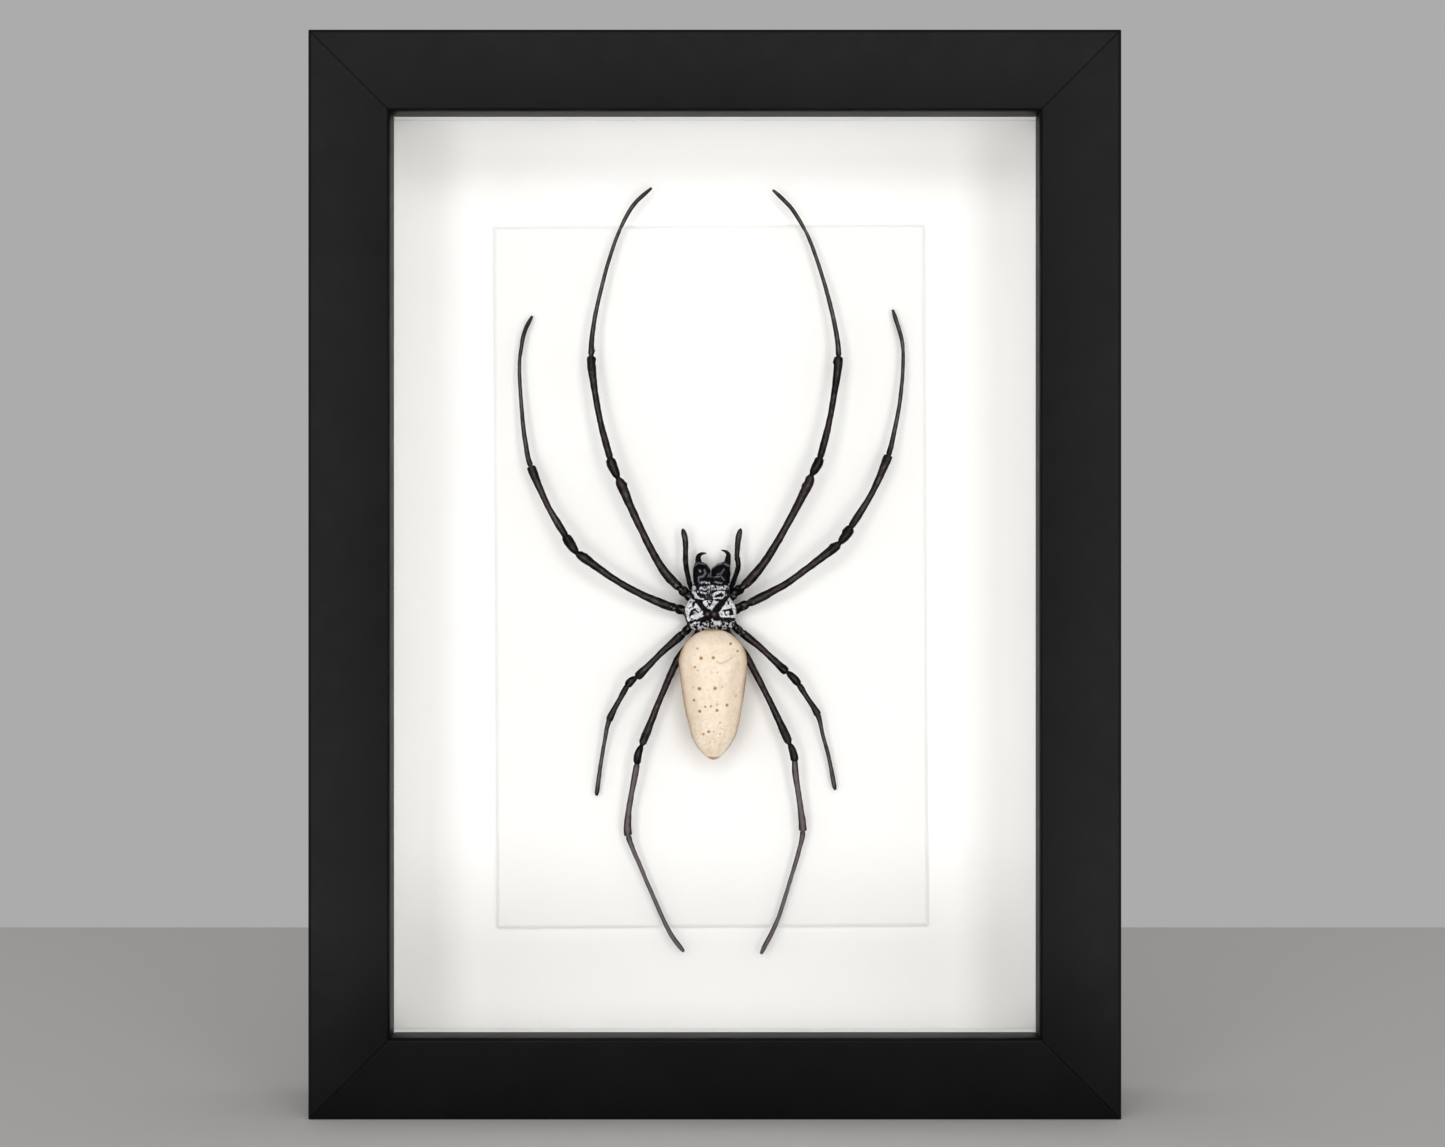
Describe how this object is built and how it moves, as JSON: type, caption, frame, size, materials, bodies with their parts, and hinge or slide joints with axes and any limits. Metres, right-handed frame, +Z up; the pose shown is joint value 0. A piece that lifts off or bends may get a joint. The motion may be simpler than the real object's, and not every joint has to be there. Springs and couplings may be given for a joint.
{
  "type": "framed orb-weaver spider",
  "caption": "Large golden orb-weaver spider, spread and fixed on a raised white panel behind glass in a black rebated box frame that stands or hangs.",
  "frame": {"origin": "centre of the underside of the bottom rail, at the middle of the frame's width and depth", "axes": "+Z up along the frame's height; the glazed front faces -Y and the closed back faces +Y; +X to the viewer's right"},
  "size_m": [0.1498, 0.034, 0.2008],
  "materials": {
    "frame_wood": "black satin paint over wood",
    "glass": "clear, polished",
    "white_card": "matt",
    "white_board": "matt paper face",
    "white_panel": "matt, bevelled edge",
    "hardboard": "smooth brown hardboard",
    "retainer_steel": "plain, slightly dull",
    "hanger_steel": "thin brassed plating",
    "carapace": "black cuticle with patches of short silver-grey hair",
    "abdomen_skin": "cream, slightly wrinkled, with small brown pits",
    "jaw_cuticle": "glossy black",
    "leg_cuticle": "satin brown-black with short hairs"
  },
  "bodies": {
    "root": {"frame_rail_top": "frame_wood", "frame_rail_bottom": "frame_wood", "frame_rail_left": "frame_wood", "frame_rail_right": "frame_wood", "glass_pane": "glass", "spacer_top": "white_card", "spacer_bottom": "white_card", "spacer_left": "white_card", "spacer_right": "white_card", "backing_board": "white_board", "mount_panel": "white_panel", "back_board": "hardboard", "retainer_top": "retainer_steel", "retainer_bottom": "retainer_steel", "retainer_left_upper": "retainer_steel", "retainer_left_lower": "retainer_steel", "retainer_right_upper": "retainer_steel", "retainer_right_lower": "retainer_steel", "sawtooth_hanger": "hanger_steel", "hanger_rivet_left": "hanger_steel", "hanger_rivet_right": "hanger_steel", "cephalothorax": "carapace", "pedicel": "leg_cuticle", "abdomen": "abdomen_skin", "chelicera_left": "jaw_cuticle", "chelicera_right": "jaw_cuticle", "fang_left": "jaw_cuticle", "fang_right": "jaw_cuticle", "pedipalp_left": "leg_cuticle", "pedipalp_right": "leg_cuticle", "leg_1_left": "leg_cuticle", "leg_1_right": "leg_cuticle", "leg_2_left": "leg_cuticle", "leg_2_right": "leg_cuticle", "leg_3_left": "leg_cuticle", "leg_3_right": "leg_cuticle", "leg_4_left": "leg_cuticle", "leg_4_right": "leg_cuticle"}
  },
  "joints": []
}
